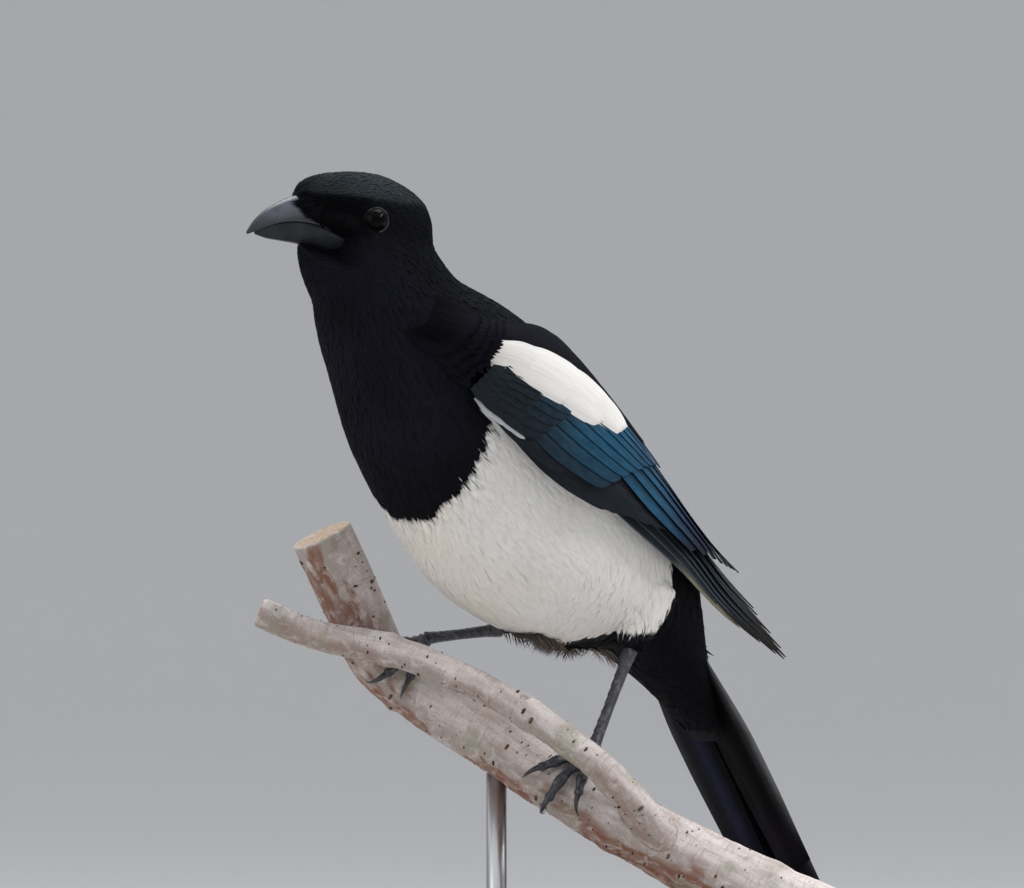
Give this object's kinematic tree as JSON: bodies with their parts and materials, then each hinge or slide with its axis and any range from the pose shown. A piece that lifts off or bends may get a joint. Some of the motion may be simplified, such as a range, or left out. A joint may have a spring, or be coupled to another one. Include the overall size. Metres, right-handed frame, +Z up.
{
  "type": "bird model on a stand",
  "caption": "Life-size Eurasian magpie gripping a cut, forked branch, head level and tail hanging, on a round wooden display stand.",
  "frame": {"origin": "middle of the underside of the stand's round base", "axes": "+Z up; the bird's body faces -X and its left side is towards -Y; the tail hangs towards +X"},
  "size_m": [0.3186, 0.2158, 0.3689],
  "materials": {
    "plumage_black": "soft black feathers with a faint blue sheen",
    "plumage_white": "soft white feathers",
    "plumage_blue": "glossy blue-black flight feathers",
    "plumage_tail": "glossy blue-black tail feathers",
    "bill": "smooth horn, near black",
    "eye": "glossy, very dark brown",
    "leg": "scaled black skin",
    "bark": "pale pinkish-grey bark",
    "rod": "plain brushed steel",
    "base": "plain turned dark wood"
  },
  "bodies": {
    "root": {"head": "plumage_black", "neck": "plumage_black", "torso": "plumage_white", "bill_upper": "bill", "bill_lower": "bill", "eye_left": "eye", "eye_right": "eye", "wing_left": "plumage_blue", "wing_right": "plumage_blue", "tail": "plumage_tail", "thigh_left": "plumage_black", "thigh_right": "plumage_black", "shank_left": "leg", "shank_right": "leg", "foot_left": "leg", "foot_right": "leg", "perch": "bark", "stand_rod": "rod", "stand_collar": "rod", "stand_base": "base"}
  },
  "joints": []
}
